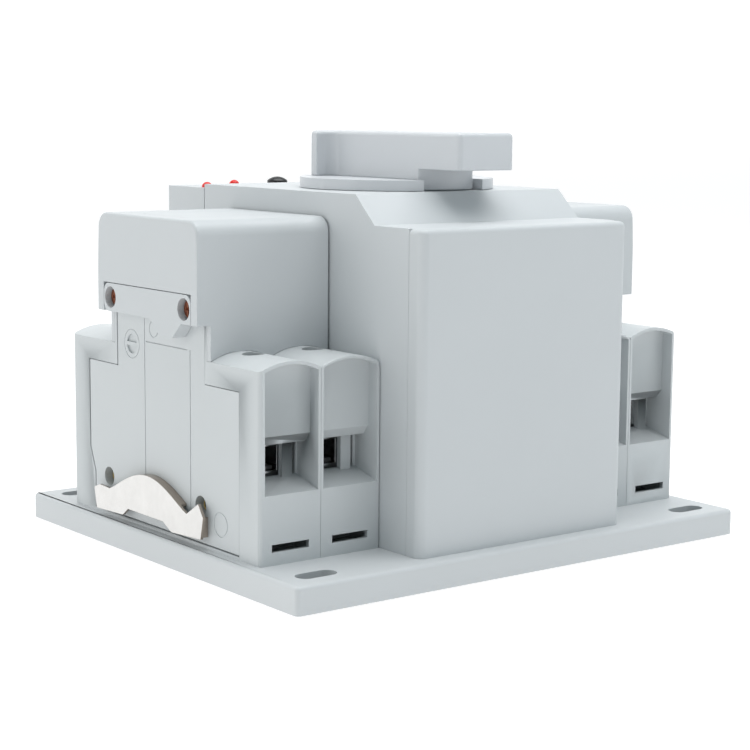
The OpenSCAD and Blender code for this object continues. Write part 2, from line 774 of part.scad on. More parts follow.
module front_cover() {
    r = 2.3;
    y0 = front_y - front_cover_d;
    y1 = front_y - front_gap;
    inner = house_hw - house_wall;
    color("gainsboro") {
        difference() {
            translate([0, 0, base_t]) linear_extrude(ledge_h) intersection() {
                union() {
                    translate([-house_hw, y0 + r]) square([2 * house_hw, y1 - y0]);
                    translate([-house_hw + r, y0]) square([2 * (house_hw - r), y1 - y0]);
                    for (s = [-1, 1]) translate([s * (house_hw - r), y0 + r]) circle(r);
                }
                translate([-house_hw, y0]) square([2 * house_hw, y1 - y0]);
            }
            span([-inner, y0 + house_wall, base_t - 1], [inner, y1 + 1, ledge_z - house_wall]);
        }
        // lips that enter the housing
        for (s = [-1, 1]) span([s > 0 ? inner - lip_t - fit_gap : -inner + fit_gap, y0 + house_wall - eps, base_t + 4],
                               [s > 0 ? inner - fit_gap : -inner + lip_t + fit_gap, front_y + cover_lip, ledge_z - 12]);
        span([-inner + 6, y0 + house_wall - eps, ledge_z - house_wall - lip_t - fit_gap],
             [inner - 6, front_y + cover_lip, ledge_z - house_wall - fit_gap]);
    }
}

module rear_cover() {
    y0 = rear_part + part_gap;
    y1 = y0 + rear_cover_d - part_gap;
    inner = house_hw - house_wall;
    color("gainsboro") difference() {
        union() {
            difference() {
                span([-house_hw, y0, base_t], [house_hw, y1, rear_top]);
                span([-inner, y0 - 1, base_t - 1], [inner, y1 - house_wall, rear_top - house_wall]);
            }
            for (s = [-1, 1]) {
                span([s > 0 ? inner - lip_t - fit_gap : -inner + fit_gap, rear_part - cover_lip, base_t + 4],
                     [s > 0 ? inner - fit_gap : -inner + lip_t + fit_gap, y1 - house_wall + eps, board_z - 12]);
                // shelf under the circuit board
                span([s > 0 ? inner - 3 : -inner - eps, y0 + 2, board_z - 2],
                     [s > 0 ? inner + eps : -inner + 3, y1 - house_wall + eps, board_z]);
            }
        }
        lamp_holes();
    }
}

// ---- mechanism ----

bush_r = shaft_r + 1.2;
plate_screw_r = 1.2;

function plate_screw_places() = [for (sx = [-1, 1], sy = [-1, 1]) [sx * (house_hw - house_wall - 2), sy * 22]];

module mechanism_plate() {
    color("lightsteelblue") difference() {
        span([-house_hw + house_wall + 0.3, -26, plate_z], [house_hw - house_wall - 0.3, 26, plate_z + plate_t]);
        translate([0, knob_y, plate_z - 1]) cylinder(r = bush_r + 0.02, h = 5);
        for (p = plate_screw_places()) translate([p[0], p[1], plate_z - 1])
            cylinder(r = plate_screw_r + fit_gap, h = 5);
    }
}

module plate_screws() {
    color("silver") for (p = plate_screw_places()) translate([p[0], p[1], 0]) difference() {
        union() {
            translate([0, 0, plate_z - 2.2]) cylinder(r = plate_screw_r, h = 4);
            translate([0, 0, plate_z + plate_t]) cylinder(r = 1.9, h = 1.3);
        }
        translate([-2, -0.25, plate_z + plate_t + 0.7]) cube([4, 0.5, 1]);
    }
}

module bush(z0, z1, flange_z) translate([0, knob_y, 0]) difference() {
    union() {
        translate([0, 0, z0]) cylinder(r = bush_r, h = z1 - z0);
        translate([0, 0, flange_z]) cylinder(r = bush_r + 2, h = 1);
    }
    translate([0, 0, z0 - 1]) cylinder(r = shaft_r + run_gap, h = z1 - z0 + 2);
}

module upper_bush() color("ivory") bush(top_z - house_wall - 1, top_z, top_z - house_wall - 1);
module lower_bush() color("ivory") bush(plate_z - 1, plate_z + plate_t + 0.4, plate_z - 1);

module guide_rods() {
    color("silver") for (s = [-1, 1]) translate([s * rod_x, breaker_y, rod_z])
        rod_along_y(-rod_half, rod_half, rod_r);
}

module rod_blocks() {
    color("gray") for (sx = [-1, 1], sy = [-1, 1]) difference() {
        translate([sx * rod_x, breaker_y + sy * (rod_half - block_t / 2), 0])
            span([-3.4, -block_t / 2, plate_z + plate_t], [3.4, block_t / 2, rod_z + 3.4]);
        translate([sx * rod_x, breaker_y, rod_z]) rod_along_y(-rod_half - 1, rod_half + 1, rod_r + 0.01);
    }
}

module micro_switches() {
    color("black") for (s = [-1, 1])
        translate([-9, breaker_y + s * (yoke_web + yoke_travel + 0.6 + 3), plate_z + plate_t])
            span([-6.4, -3, 0], [6.4, 3, 5.6]);
}

// The yoke slides on the guide rods. Its arms leave the housing on both sides, and each ends
// in a fork around a tie pin.
module transfer_yoke() {
    arm_x = fork_x + fork_w;
    rack_x = pitch_r + 1.3 * gear_m;
    color("lightgray") difference() {
        union() {
            span([-arm_x, breaker_y - yoke_hd, yoke_z], [arm_x, breaker_y + yoke_hd, yoke_z + yoke_t]);
            span([-rod_x - 4, breaker_y - yoke_web, yoke_z], [rod_x + 4, breaker_y + yoke_web, yoke_z + yoke_t]);
            span([rack_x - 2.4, knob_y - rack_half, yoke_z], [rack_x + 4, knob_y + rack_half, yoke_z + yoke_t]);
            for (s = [-1, 1]) {
                translate([s * rod_x, breaker_y, rod_z]) rod_along_y(-sleeve_len / 2, sleeve_len / 2, sleeve_r);
                translate([s * (fork_x + fork_w / 2), breaker_y, 0])
                    span([-fork_w / 2, -yoke_hd, yoke_z], [fork_w / 2, yoke_hd, yoke_z + fork_up]);
            }
        }
        for (s = [-1, 1]) {
            translate([s * rod_x, breaker_y, rod_z]) rod_along_y(-sleeve_len, sleeve_len, rod_r + run_gap);
            translate([s * (fork_x + fork_w / 2), breaker_y, tie_z])
                span([-fork_w, -tie_r - fork_gap, -2.1 - tie_r], [fork_w, tie_r + fork_gap, fork_up]);
        }
        // notch around the shaft
        span([-shaft_r - 0.6, -30, yoke_z - 1], [shaft_r + 0.6, knob_y + yoke_travel + shaft_r + 0.6, yoke_z + 10]);
    }
}

rack_half = yoke_travel + 5.5;

function flank_half_angle(r, slack) =
    let (rb = pitch_r * cos(20), t = sqrt(max(pow(r / rb, 2) - 1, 0)),
         at_pitch = 90 / gear_teeth - slack / pitch_r * 90 / PI + (tan(20) * 180 / PI - 20))
    at_pitch - (t * 180 / PI - atan(t));

module yoke_rack() {
    pitch = PI * gear_m;
    slack = 0.12;
    root = 1.25 * gear_m;
    tip = 0.9 * gear_m;
    half = pitch / 4 - slack / 2;
    count = floor((rack_half - pitch / 2) / pitch - 0.3);
    color("silver") translate([pitch_r, knob_y, yoke_z + yoke_t]) linear_extrude(gear_w + 1) {
        translate([root, -rack_half]) square([3.4, 2 * rack_half]);
        for (k = [-count - 1 : count]) translate([0, (k + 0.5) * pitch]) polygon([
            [root + 0.2, half + root * tan(20)], [-tip, half - tip * tan(20)],
            [-tip, -half + tip * tan(20)], [root + 0.2, -half - root * tan(20)]]);
    }
}

module drive_pinion() {
    slack = 0.12;
    root_r = pitch_r - 1.25 * gear_m;
    tip_r = pitch_r + 0.9 * gear_m;
    base_r = pitch_r * cos(20);
    radii = [root_r - 0.3, base_r, pitch_r - 0.1 * gear_m, pitch_r + 0.45 * gear_m, tip_r];
    color("goldenrod") translate([0, knob_y, gear_z]) difference() {
        linear_extrude(gear_w) {
            circle(root_r);
            for (k = [0 : gear_teeth - 1]) rotate(k * 360 / gear_teeth) polygon(concat(
                [for (r = radii) let (a = -flank_half_angle(max(r, base_r), slack)) [r * cos(a), r * sin(a)]],
                [for (n = [4 : -1 : 0]) let (r = radii[n], a = flank_half_angle(max(r, base_r), slack))
                    [r * cos(a), r * sin(a)]]));
        }
        translate([0, 0, -1]) cylinder(r = shaft_r + 0.01, h = gear_w + 2);
    }
}

module drive_shaft() {
    groove_z = plate_z - 2.2;
    color("silver") translate([0, knob_y, 0]) difference() {
        translate([0, 0, plate_z - 3.4]) cylinder(r = shaft_r, h = grip_z + 6 - plate_z + 3.4);
        translate([0, 0, groove_z]) difference() {
            cylinder(r = shaft_r + 1, h = 0.9);
            translate([0, 0, -1]) cylinder(r = shaft_r - 0.8, h = 3);
        }
    }
}

module shaft_clip() {
    color("dimgray") translate([0, knob_y, plate_z - 2.15]) difference() {
        cylinder(r = shaft_r + 1.6, h = 0.8);
        translate([0, 0, -1]) cylinder(r = shaft_r - 0.75, h = 3);
        span([-shaft_r + 1.2, 0, -1], [shaft_r - 1.2, 10, 2]);
    }
}

// ---- knob ----

module knob_skirt() {
    notch = grip_hw + 0.6;
    color("white") translate([0, knob_y, skirt_z]) difference() {
        cylinder(r = skirt_r, h = skirt_h, $fn = 96);
        translate([0, 0, -1]) cylinder(r = shaft_r + 0.01, h = skirt_h + 2);
        difference() {
            span([-notch, -skirt_r - 1, -1], [notch, 0, skirt_h + 1]);
            translate([0, 0, -2]) cylinder(r = tongue_r - 1.4, h = skirt_h + 4);
        }
    }
}

module knob_outline() {
    fillet = 3.0;
    end_r = 1.4;
    translate([-grip_hw, -grip_reach + end_r]) square([2 * grip_hw, grip_reach + head_y]);
    translate([-grip_hw + end_r, -grip_reach]) square([2 * (grip_hw - end_r), grip_reach]);
    for (s = [-1, 1]) translate([s * (grip_hw - end_r), -grip_reach + end_r]) circle(end_r);
    intersection() {
        circle(head_r, $fn = 96);
        translate([-head_hw, head_y]) square([2 * head_hw, head_r]);
    }
    for (s = [-1, 1]) difference() {
        translate([s * (grip_hw + fillet / 2 - eps), head_y - fillet / 2 + eps])
            square([fillet, fillet], center = true);
        translate([s * (grip_hw + fillet), head_y - fillet]) circle(fillet);
    }
}

module knob() {
    color("white") translate([0, knob_y, 0]) difference() {
        union() {
            translate([0, 0, grip_z]) linear_extrude(grip_h) knob_outline();
            intersection() {
                span([-grip_hw, -skirt_r, skirt_z], [grip_hw, 0, grip_z + 1]);
                translate([0, 0, skirt_z]) difference() {
                    cylinder(r = tongue_r, h = 10);
                    translate([0, 0, -1]) cylinder(r = tongue_r - 1.3, h = skirt_h + 1);
                }
            }
        }
        // the handle's tip stands clear of the skirt
        difference() {
            span([-grip_hw - 1, -grip_reach - 1, grip_z - 1], [grip_hw + 1, 0, overhang_z]);
            translate([0, 0, grip_z - 2]) cylinder(r = tongue_r, h = 10);
        }
        translate([0, 0, grip_z - 1]) cylinder(r = shaft_r + 0.01, h = 7.2);
    }
}

// ---- signals ----

board_x0 = -house_hw + house_wall + 0.4;
board_x1 = house_hw - house_wall - 0.4;

module circuit_board() {
    color("darkgreen") span([board_x0, rear_part + part_gap + 0.6 - 4, board_z],
                            [board_x1, rear_part + rear_cover_d - house_wall - 0.6, board_z + board_t]);
}

module board_parts() {
    y = rear_part + 8;
    color("saddlebrown") translate([0, 0, board_z + board_t]) {
        for (k = [0 : 3]) translate([8 + 5 * k, y, 0]) span([-1.2, -3, 0], [1.2, 3, 2.2]);
        translate([12, y - 6.4, 0]) cylinder(r = 2.4, h = 5);
        translate([20, y - 6.4, 0]) cylinder(r = 2.4, h = 5);
    }
}

module signal_lamps() {
    color("red") for (p = lamp_places) translate([p[0], p[1], board_z + board_t]) {
        cylinder(r = led_r, h = rear_top - board_z - board_t);
        translate([0, 0, rear_top - board_z - board_t]) intersection() {
            sphere(led_r);
            cylinder(r = led_r, h = led_r);
        }
    }
}

switch_z = board_z + board_t;
switch_h = 2.4;
plunger_r = 1.4;
stem_z = switch_z + switch_h + button_travel + 0.15;

module tact_switch() {
    color("dimgray") translate([button_x, button_y, switch_z]) difference() {
        span([-3, -3, 0], [3, 3, switch_h]);
        translate([0, 0, 0.4]) cylinder(r = plunger_r + run_gap, h = switch_h);
    }
}

module switch_plunger() {
    color("ivory") translate([button_x, button_y, switch_z + 0.5 + button_travel])
        cylinder(r = plunger_r, h = stem_z - switch_z - 0.5 - button_travel);
}

// The button is held under the cover by its collar.
module push_button() {
    dome = 1.1;
    dome_r = (pow(button_r, 2) + pow(dome, 2)) / (2 * dome);
    color("black") translate([button_x, button_y, 0]) {
        translate([0, 0, stem_z]) cylinder(r = button_r, h = rear_top + button_up - dome - stem_z);
        translate([0, 0, stem_z]) cylinder(r = button_r + 0.8, h = 0.8);
        translate([0, 0, rear_top + button_up - dome]) intersection() {
            translate([0, 0, dome - dome_r]) sphere(dome_r);
            cylinder(r = button_r, h = dome);
        }
    }
}

base_plate();
base_screws();
outer_case_left();
inner_case_left();
outer_case_right();
inner_case_right();
outer_cover_left();
inner_cover_left();
outer_cover_right();
inner_cover_right();
breaker_rivets();
side_bracket_left();
side_bracket_right();
terminal_cages();
terminal_screws();
line_contacts();
load_straps();
trip_coils();
coil_cores();
bimetals();
arc_chutes();
toggle_pivots();
arm_pivots();
toggles_left();
tie_pin_left();
toggles_right();
tie_pin_right();
contact_arms_left();
contact_arms_right();
hood_left();
hood_right();
retainer_strip_left();
retainer_strip_right();
hood_screws();
drive_housing();
front_cover();
rear_cover();
mechanism_plate();
plate_screws();
upper_bush();
lower_bush();
guide_rods();
rod_blocks();
micro_switches();
transfer_yoke();
yoke_rack();
drive_shaft();
shaft_clip();
drive_pinion();
knob_skirt();
knob();
circuit_board();
board_parts();
signal_lamps();
tact_switch();
switch_plunger();
push_button();
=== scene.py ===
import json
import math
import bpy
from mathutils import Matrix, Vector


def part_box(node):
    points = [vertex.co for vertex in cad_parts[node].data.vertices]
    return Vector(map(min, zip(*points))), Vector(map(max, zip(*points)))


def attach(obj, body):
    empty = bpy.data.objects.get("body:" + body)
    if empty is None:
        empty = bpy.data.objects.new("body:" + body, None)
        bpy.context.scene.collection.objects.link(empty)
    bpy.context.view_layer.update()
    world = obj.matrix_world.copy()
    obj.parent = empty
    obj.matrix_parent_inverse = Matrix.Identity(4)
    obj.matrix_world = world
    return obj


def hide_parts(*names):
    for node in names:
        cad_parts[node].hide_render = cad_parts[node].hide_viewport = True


bl_info = {
    "name": "Manual transfer switch",
    "version": (1, 0, 0),
    "blender": (4, 5, 0),
    "location": "View3D > Sidebar > Transfer switch",
    "description": "Builds the pieces and finishes of a manual transfer switch around its packed frame",
    "category": "Object",
}

import bmesh
import bpy
from mathutils import Matrix, Vector

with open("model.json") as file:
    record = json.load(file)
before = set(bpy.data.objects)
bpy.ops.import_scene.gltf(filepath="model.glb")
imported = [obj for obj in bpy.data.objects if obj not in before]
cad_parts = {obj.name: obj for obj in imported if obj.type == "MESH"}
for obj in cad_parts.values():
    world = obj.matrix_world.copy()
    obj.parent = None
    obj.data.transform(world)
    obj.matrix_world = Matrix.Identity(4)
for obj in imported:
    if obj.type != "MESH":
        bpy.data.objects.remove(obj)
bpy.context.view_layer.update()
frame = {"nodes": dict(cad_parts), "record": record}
MM = 0.001


def millimetres(node):
    """The low and high corners of a node of the frame, in millimetres."""
    low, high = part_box(node)
    return low / MM, high / MM


BASE = millimetres("base_plate")
CASE = millimetres("outer_case_left")
HOOD = millimetres("hood_left")
HOUSING = millimetres("drive_housing")
FRONT = millimetres("front_cover")
SKIRT = millimetres("knob_skirt")
KNOB = millimetres("knob")
BREAKER_Y = (CASE[0].y + CASE[1].y) / 2
FOOT_Z = CASE[0].z
KNOB_Y = (SKIRT[0].y + SKIRT[1].y) / 2
SIDES = ("left", "right")
ALONG_X = Matrix(((0, 0, 1, 0), (1, 0, 0, 0), (0, 1, 0, 0), (0, 0, 0, 1)))

# Moulded details of a breaker, in millimetres in its own frame: x from its outer side, y from its
# middle and z from its foot.
GROOVE_DEPTH = 0.3
SEAM_HEIGHT = 48.1
SEAM_ENDS = (-13.1, 6.7)
UPRIGHT_SEAMS = ((7.2, 13.7, 53.8), (-14.5, 8.2, 48.2))  # y, lower end, upper end
BOSS_PLACE = (13.6, 46.8)
BOSS_RADIUS = 2.5
BOSS_DEPTH = 0.5
BOSS_BAR = 0.9
RING_DEPTH = 0.16
RINGS = ((-28.1, 7.2, 3.1, 0.32), (*BOSS_PLACE, 3.8, 0.2), (2.7, 51.6, 2.2, 0.3))  # y, z, radius, width
LABEL_DEPTH = 0.15
LABEL_HALF_WIDTH = 9.8
LABEL_REACH = (36.0, 67.5)  # from the switch's middle

# Stage, in metres. The camera's axes are unit vectors.
CAMERA_PLACE = (-0.30409, -0.39451, 0.11314)
CAMERA_RIGHT = (0.79848, -0.60197, 0.00739)
CAMERA_UP = (0.07926, 0.11728, 0.98993)
CAMERA_AIM = (0.59678, 0.78986, -0.14136)
CAMERA_LENS = 88.63
CAMERA_SHIFT = (0.0178, -0.0019)
# Inset of the near-black card of painted shade under the base plate, which stands in for the shade beneath
# the switch and in its slots.
SHADE_PAD_INSET = 0.006


# ---- sizes and colours a user may change ----


class SwitchSizes(bpy.types.PropertyGroup):
    """Sizes of the rounding and of the fine detail."""

    edge: bpy.props.FloatProperty(
        name="Edge rounding", description="Radius of the ordinary moulded edges",
        default=0.00032, min=0.00005, max=0.001, subtype="DISTANCE", unit="LENGTH")
    metal_edge: bpy.props.FloatProperty(
        name="Metal edge", description="Radius of the edges of sheet metal and screws",
        default=0.00012, min=0.00002, max=0.0005, subtype="DISTANCE", unit="LENGTH")
    knob_edge: bpy.props.FloatProperty(
        name="Knob edge", description="Radius along the top of the handle",
        default=0.0011, min=0.0002, max=0.002, subtype="DISTANCE", unit="LENGTH")
    cover_edge: bpy.props.FloatProperty(
        name="Front cover edge", description="Radius along the top of the front cover",
        default=0.0014, min=0.0002, max=0.003, subtype="DISTANCE", unit="LENGTH")
    plate_edge: bpy.props.FloatProperty(
        name="Plate edge", description="Radius along the top of the base plate",
        default=0.0011, min=0.0002, max=0.002, subtype="DISTANCE", unit="LENGTH")
    end_round: bpy.props.FloatProperty(
        name="Casing end rounding", description="Radius where a pole's barrel top meets its terminal face",
        default=0.0007, min=0.0002, max=0.00075, subtype="DISTANCE", unit="LENGTH")
    corner_round: bpy.props.FloatProperty(
        name="Breaker corner rounding", description="Radius of a breaker's outer upright corners",
        default=0.0012, min=0.0002, max=0.0013, subtype="DISTANCE", unit="LENGTH")
    top_round: bpy.props.FloatProperty(
        name="Barrel top rounding", description="Radius along the sides of a pole's barrel top",
        default=0.0009, min=0.0002, max=0.0015, subtype="DISTANCE", unit="LENGTH")
    label_groove: bpy.props.FloatProperty(
        name="Label field groove", description="Width of the groove around the label field on a hood",
        default=0.00026, min=0.0001, max=0.001, subtype="DISTANCE", unit="LENGTH")
    skirt_edge: bpy.props.FloatProperty(
        name="Skirt edge", description="Radius around the knob's skirt",
        default=0.0012, min=0.0002, max=0.002, subtype="DISTANCE", unit="LENGTH")
    seam: bpy.props.FloatProperty(
        name="Seam width", description="Width of the moulded seams on the side covers",
        default=0.00028, min=0.0001, max=0.001, subtype="DISTANCE", unit="LENGTH")


class SwitchColours(bpy.types.PropertyGroup):
    """Colours of the mouldings."""

    case: bpy.props.FloatVectorProperty(
        name="Casings", description="Colour of the breaker casings",
        default=(0.570, 0.596, 0.606), subtype="COLOR", min=0, max=1)
    housing: bpy.props.FloatVectorProperty(
        name="Housing", description="Colour of the drive housing and its covers",
        default=(0.580, 0.604, 0.618), subtype="COLOR", min=0, max=1)
    hood: bpy.props.FloatVectorProperty(
        name="Hoods", description="Colour of the hoods and the retainer strips",
        default=(0.562, 0.586, 0.600), subtype="COLOR", min=0, max=1)
    plate: bpy.props.FloatVectorProperty(
        name="Base plate", description="Colour of the base plate",
        default=(0.600, 0.622, 0.634), subtype="COLOR", min=0, max=1)
    knob: bpy.props.FloatVectorProperty(
        name="Knob", description="Colour of the knob",
        default=(0.600, 0.618, 0.640), subtype="COLOR", min=0, max=1)
    lamp: bpy.props.FloatVectorProperty(
        name="Lamps", description="Colour of the signal lamps",
        default=(0.66, 0.018, 0.012), subtype="COLOR", min=0, max=1)


# ---- shader node groups ----


def new_group(name, inputs, outputs):
    group = bpy.data.node_groups.new(name, "ShaderNodeTree")
    for label, kind, value in inputs:
        socket = group.interface.new_socket(label, in_out="INPUT", socket_type=kind)
        if value is not None:
            socket.default_value = value
    for label, kind in outputs:
        group.interface.new_socket(label, in_out="OUTPUT", socket_type=kind)
    start = group.nodes.new("NodeGroupInput")
    end = group.nodes.new("NodeGroupOutput")
    return group, start, end


def add_node(tree, kind, links=(), **values):
    """A node with its properties set by name, and its inputs fed or set."""
    node = tree.nodes.new(kind)
    for name, value in values.items():
        setattr(node, name, value)
    for name, value in links:
        socket = node.inputs[name]
        if hasattr(value, "is_output"):
            tree.links.new(value, socket)
        else:
            socket.default_value = value
    return node


def maths(tree, operation, a, b, clamp=False):
    return add_node(tree, "ShaderNodeMath", [(0, a), (1, b)], operation=operation, use_clamp=clamp).outputs[0]


def moulded_grain_group():
    """Spark-eroded mould texture with slow mottling of tone and gloss."""
    name = "Moulded grain"
    if name in bpy.data.node_groups:
        return bpy.data.node_groups[name]
    group, start, end = new_group(
        name,
        [("Base", "NodeSocketColor", (0.5, 0.5, 0.5, 1)), ("Shade", "NodeSocketColor", (0.4, 0.4, 0.4, 1)),
         ("Fineness", "NodeSocketFloat", 9000.0), ("Mottle", "NodeSocketFloat", 0.3),
         ("Roughness", "NodeSocketFloat", 0.45), ("Roughness spread", "NodeSocketFloat", 0.1)],
        [("Color", "NodeSocketColor"), ("Roughness", "NodeSocketFloat"), ("Height", "NodeSocketFloat")])
    place = add_node(group, "ShaderNodeTexCoord").outputs["Object"]
    fine = add_node(group, "ShaderNodeTexNoise", [("Vector", place), ("Scale", start.outputs["Fineness"]),
                                                  ("Detail", 3.0), ("Roughness", 0.6)])
    slow = add_node(group, "ShaderNodeTexNoise", [("Vector", place), ("Scale", 34.0), ("Detail", 4.0),
                                                  ("Roughness", 0.55)])
    flow = add_node(group, "ShaderNodeTexNoise", [("Vector", place), ("Scale", 210.0), ("Detail", 2.0)])
    spread = maths(group, "MULTIPLY", slow.outputs["Fac"], start.outputs["Mottle"])
    colour = add_node(group, "ShaderNodeMix", [("Factor", spread), ("A", start.outputs["Base"]),
                                               ("B", start.outputs["Shade"])], data_type="RGBA")
    centred = maths(group, "SUBTRACT", flow.outputs["Fac"], 0.5)
    swing = maths(group, "MULTIPLY", centred, start.outputs["Roughness spread"])
    rough = maths(group, "ADD", start.outputs["Roughness"], swing, clamp=True)
    group.links.new(colour.outputs["Result"], end.inputs["Color"])
    group.links.new(rough, end.inputs["Roughness"])
    group.links.new(fine.outputs["Fac"], end.inputs["Height"])
    return group


def settled_dust_group():
    """A faint greyer film where a surface looks up, broken by noise."""
    name = "Settled dust"
    if name in bpy.data.node_groups:
        return bpy.data.node_groups[name]
    group, start, end = new_group(
        name,
        [("Color", "NodeSocketColor", (0.5, 0.5, 0.5, 1)), ("Dust", "NodeSocketColor", (0.42, 0.42, 0.41, 1)),
         ("Amount", "NodeSocketFloat", 0.06)],
        [("Color", "NodeSocketColor"), ("Mask", "NodeSocketFloat")])
    place = add_node(group, "ShaderNodeTexCoord").outputs["Object"]
    normal = add_node(group, "ShaderNodeNewGeometry").outputs["Normal"]
    upward = add_node(group, "ShaderNodeSeparateXYZ", [("Vector", normal)]).outputs["Z"]
    facing = maths(group, "MAXIMUM", upward, 0.0)
    speck = add_node(group, "ShaderNodeTexNoise", [("Vector", place), ("Scale", 120.0), ("Detail", 6.0),
                                                   ("Roughness", 0.7)])
    lifted = add_node(group, "ShaderNodeMapRange", [("Value", speck.outputs["Fac"]), ("From Min", 0.42),
                                                    ("From Max", 0.75)])
    both = maths(group, "MULTIPLY", facing, lifted.outputs["Result"])
    mask = maths(group, "MULTIPLY", both, start.outputs["Amount"])
    colour = add_node(group, "ShaderNodeMix", [("Factor", mask), ("A", start.outputs["Color"]),
                                               ("B", start.outputs["Dust"])], data_type="RGBA")
    group.links.new(colour.outputs["Result"], end.inputs["Color"])
    group.links.new(mask, end.inputs["Mask"])
    return group


def drawn_metal_group():
    """Fine lines left by rolling or turning, with a cloudy plated tone."""
    name = "Drawn metal"
    if name in bpy.data.node_groups:
        return bpy.data.node_groups[name]
    group, start, end = new_group(
        name,
        [("Bright", "NodeSocketColor", (0.6, 0.6, 0.6, 1)),
         ("Dull", "NodeSocketColor", (0.35, 0.35, 0.35, 1)),
         ("Line scale", "NodeSocketVector", (400.0, 400.0, 6000.0)), ("Roughness", "NodeSocketFloat", 0.3)],
        [("Color", "NodeSocketColor"), ("Roughness", "NodeSocketFloat"), ("Height", "NodeSocketFloat")])
    place = add_node(group, "ShaderNodeTexCoord").outputs["Object"]
    stretched = add_node(group, "ShaderNodeVectorMath", [(0, place), (1, start.outputs["Line scale"])],
                         operation="MULTIPLY")
    lines = add_node(group, "ShaderNodeTexNoise", [("Vector", stretched.outputs[0]), ("Scale", 1.0),
                                                   ("Detail", 3.0)])
    cloud = add_node(group, "ShaderNodeTexNoise", [("Vector", place), ("Scale", 260.0), ("Detail", 5.0)])
    colour = add_node(group, "ShaderNodeMix",
                      [("Factor", cloud.outputs["Fac"]), ("A", start.outputs["Bright"]),
                       ("B", start.outputs["Dull"])], data_type="RGBA")
    swing = maths(group, "MULTIPLY", maths(group, "SUBTRACT", lines.outputs["Fac"], 0.5), 0.22)
    rough = maths(group, "ADD", start.outputs["Roughness"], swing, clamp=True)
    group.links.new(colour.outputs["Result"], end.inputs["Color"])
    group.links.new(rough, end.inputs["Roughness"])
    group.links.new(lines.outputs["Fac"], end.inputs["Height"])
    return group


# ---- materials ----


def blank_material(name):
    material = bpy.data.materials.new(name)
    material.use_nodes = True
    tree = material.node_tree
    return material, tree, tree.nodes["Principled BSDF"]


def place_group(tree, group, **values):
    node = tree.nodes.new("ShaderNodeGroup")
    node.node_tree = group
    for name, value in values.items():
        socket = node.inputs[name.replace("_", " ")]
        if hasattr(value, "is_output"):
            tree.links.new(value, socket)
        else:
            socket.default_value = value
    return node


def bump(tree, shader, height, strength, distance):
    node = add_node(tree, "ShaderNodeBump",
                    [("Height", height), ("Strength", strength), ("Distance", distance)])
    tree.links.new(node.outputs["Normal"], shader.inputs["Normal"])


def opaque(colour):
    return (*tuple(colour)[:3], 1.0)


def moulding(name, colour, rough=0.42, mottle=0.35, fineness=7000.0, strength=0.35, dust=0.07, darker=0.90,
             specular=0.42):
    """A thermoplastic or thermoset moulding."""
    if name in bpy.data.materials:
        return bpy.data.materials[name]
    material, tree, shader = blank_material(name)
    shade = [c * darker for c in tuple(colour)[:3]]
    grain = place_group(tree, moulded_grain_group(), Base=opaque(colour), Shade=opaque(shade),
                        Fineness=fineness, Mottle=mottle, Roughness=rough)
    film = place_group(tree, settled_dust_group(), Color=grain.outputs["Color"], Amount=dust)
    tree.links.new(film.outputs["Color"], shader.inputs["Base Color"])
    tree.links.new(grain.outputs["Roughness"], shader.inputs["Roughness"])
    shader.inputs["Specular IOR Level"].default_value = specular
    bump(tree, shader, grain.outputs["Height"], strength, 0.00002)
    return material


def metal(name, bright, dull, rough=0.28, lines=(400.0, 400.0, 6000.0)):
    """A plated, rolled or turned metal."""
    if name in bpy.data.materials:
        return bpy.data.materials[name]
    material, tree, shader = blank_material(name)
    drawn = place_group(tree, drawn_metal_group(), Bright=opaque(bright), Dull=opaque(dull), Line_scale=lines,
                        Roughness=rough)
    tree.links.new(drawn.outputs["Color"], shader.inputs["Base Color"])
    tree.links.new(drawn.outputs["Roughness"], shader.inputs["Roughness"])
    shader.inputs["Metallic"].default_value = 1.0
    bump(tree, shader, drawn.outputs["Height"], 0.25, 0.00001)
    return material


def sheared_sheet(name, face, edge):
    """Bright plated sheet whose sheared and folded edges are brown."""
    if name in bpy.data.materials:
        return bpy.data.materials[name]
    material, tree, shader = blank_material(name)
    dull = [c * 0.86 for c in face]
    drawn = place_group(tree, drawn_metal_group(), Bright=opaque(face), Dull=opaque(dull), Roughness=0.16,
                        Line_scale=(300.0, 260.0, 4200.0))
    normal = add_node(tree, "ShaderNodeNewGeometry").outputs["Normal"]
    sideways = add_node(tree, "ShaderNodeSeparateXYZ", [("Vector", normal)]).outputs["X"]
    flat = add_node(tree, "ShaderNodeMapRange", [("Value", maths(tree, "ABSOLUTE", sideways, 0.0)),
                                                 ("From Min", 0.55), ("From Max", 0.95)]).outputs["Result"]
    place = add_node(tree, "ShaderNodeTexCoord").outputs["Object"]
    stain = add_node(tree, "ShaderNodeTexNoise", [("Vector", place), ("Scale", 700.0), ("Detail", 4.0)])
    bare = maths(tree, "SUBTRACT", flat, maths(tree, "MULTIPLY", stain.outputs["Fac"], 0.12), clamp=True)
    mixed = add_node(tree, "ShaderNodeMix", [("Factor", bare), ("A", opaque(edge)),
                                             ("B", drawn.outputs["Color"])], data_type="RGBA")
    tree.links.new(mixed.outputs["Result"], shader.inputs["Base Color"])
    tree.links.new(drawn.outputs["Roughness"], shader.inputs["Roughness"])
    shader.inputs["Metallic"].default_value = 0.9
    bump(tree, shader, drawn.outputs["Height"], 0.2, 0.00001)
    return material


